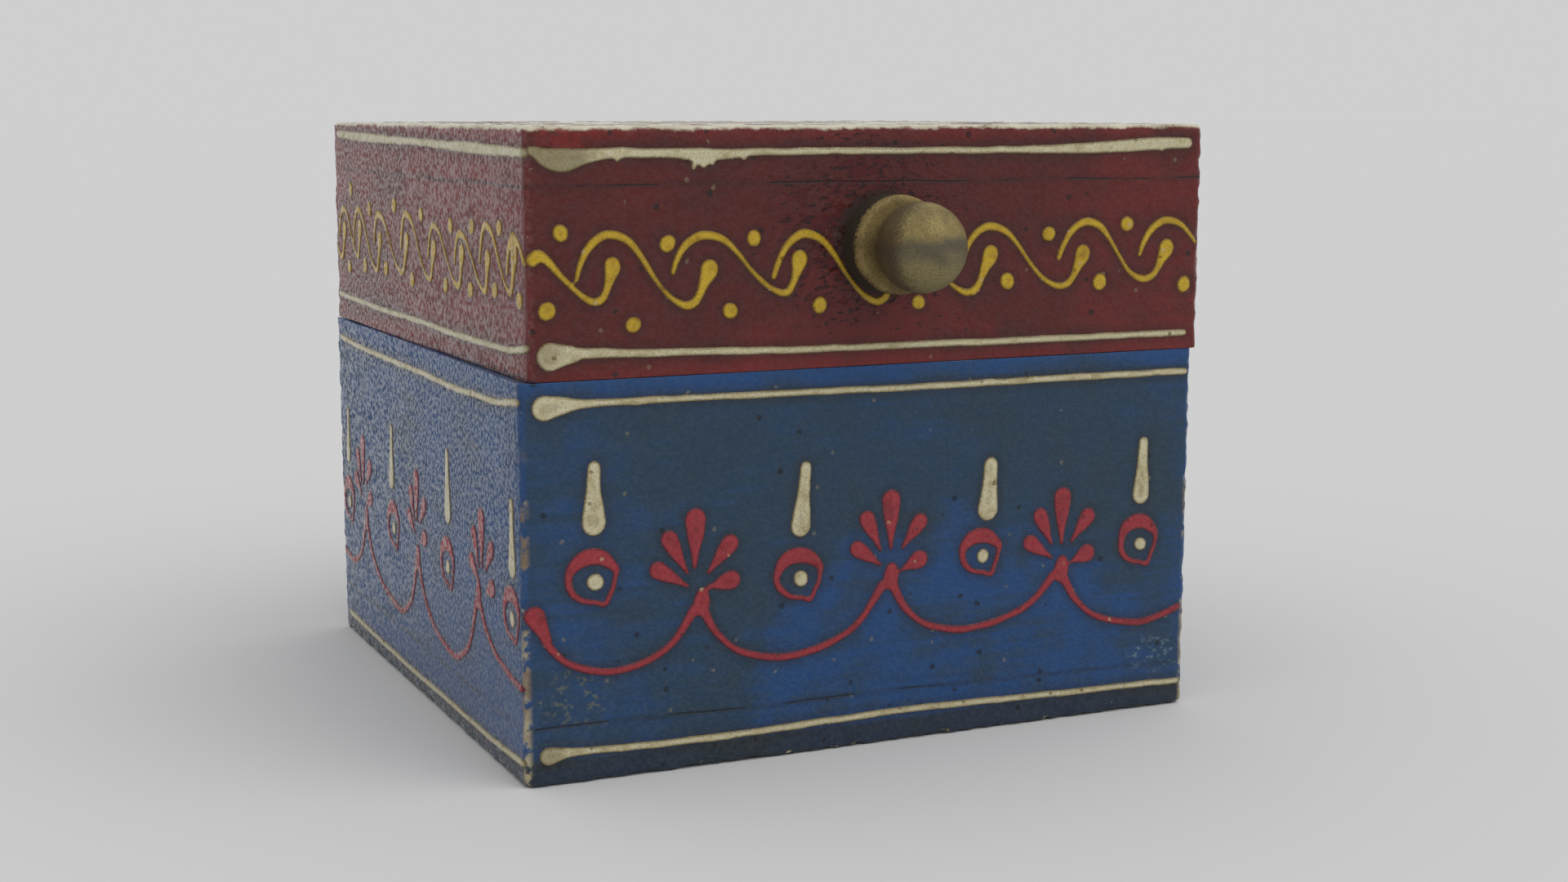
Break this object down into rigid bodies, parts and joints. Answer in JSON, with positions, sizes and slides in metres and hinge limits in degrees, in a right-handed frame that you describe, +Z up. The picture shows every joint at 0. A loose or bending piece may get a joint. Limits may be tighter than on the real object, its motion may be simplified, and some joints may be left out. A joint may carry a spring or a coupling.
{
  "type": "jack in the box",
  "caption": "Painted wooden box with a hinged lid and a brass turning knob; lifting the lid lets a capped jack rise on a coil spring.",
  "frame": {"origin": "middle of the base's underside, on the surface it stands on", "axes": "+X to the right along the front, -Y out of the front face with the knob, +Z up"},
  "size_m": [0.1033, 0.1175, 0.0855],
  "materials": {
    "red_paint": "aged maroon oil paint, varnished, worn at the edges",
    "blue_paint": "aged dark blue oil paint, varnished, worn at the edges",
    "cream_paint": "piped paint, aged cream",
    "yellow_paint": "piped paint, yellow",
    "garland_paint": "piped paint, rose red",
    "leaf_paint": "piped paint, green",
    "bare_wood": "plain softwood",
    "aged_brass": "dull brass with brown tarnish",
    "steel": "drawn wire",
    "face_paint": "turned wood, satin paint",
    "nose_paint": "gloss paint on a bead",
    "cap_felt": "wool felt",
    "ruff_cloth": "gathered cotton",
    "sleeve_cloth": "pleated cotton"
  },
  "bodies": {
    "base": {"bottom_board": "blue_paint", "base_front_board": "blue_paint", "base_back_board": "blue_paint", "base_left_board": "blue_paint", "base_right_board": "blue_paint", "base_brads": "steel", "keeper_pin": "aged_brass", "hinge_base_leaf_left": "aged_brass", "hinge_base_leaf_right": "aged_brass", "hinge_pin_left": "aged_brass", "hinge_pin_right": "aged_brass", "hinge_base_screws": "aged_brass", "spring_base_disc": "bare_wood", "disc_screws": "steel", "lower_staples": "steel", "coil_spring": "steel", "cloth_sleeve": "sleeve_cloth"},
    "lid": {"top_board": "red_paint", "lid_front_board": "red_paint", "lid_back_board": "red_paint", "lid_left_board": "red_paint", "lid_right_board": "red_paint", "lid_brads": "steel", "knob_rose": "aged_brass", "hinge_lid_leaf_left": "aged_brass", "hinge_lid_leaf_right": "aged_brass", "hinge_lid_screws": "aged_brass"},
    "knob": {"knob_ball": "aged_brass", "tongue_washer": "aged_brass", "latch_tongue": "aged_brass", "spindle_nut": "aged_brass"},
    "jack": {"spring_top_disc": "bare_wood", "upper_staples": "steel", "neck_screw": "steel", "jack_head": "face_paint", "nose_bead": "nose_paint", "felt_cap": "cap_felt", "cap_bells": "aged_brass", "neck_ruff": "ruff_cloth"}
  },
  "joints": [
    {"name": "lid_hinge", "type": "hinge", "parent": "base", "child": "lid", "pos_m": [0, 0.0497, 0.0531], "axis": [-1, 0, 0], "range_deg": [0, 110]},
    {"name": "knob_turn", "type": "hinge", "parent": "lid", "child": "knob", "pos_m": [0.0013, -0.0505, 0.0695], "axis": [0, 1, 0], "range_deg": [0, 90]},
    {"name": "jack_rise", "type": "slide", "parent": "base", "child": "jack", "axis": [0, 0, 1], "range_m": [0, 0.0841], "stiffness_N_per_m": 7, "springref_m": 0.084, "deforming": ["coil_spring", "cloth_sleeve"]}
  ],
  "couplings": [
    {"joint": "jack_rise", "follows": "lid_hinge", "m_per_rad": 0.04375}
  ]
}
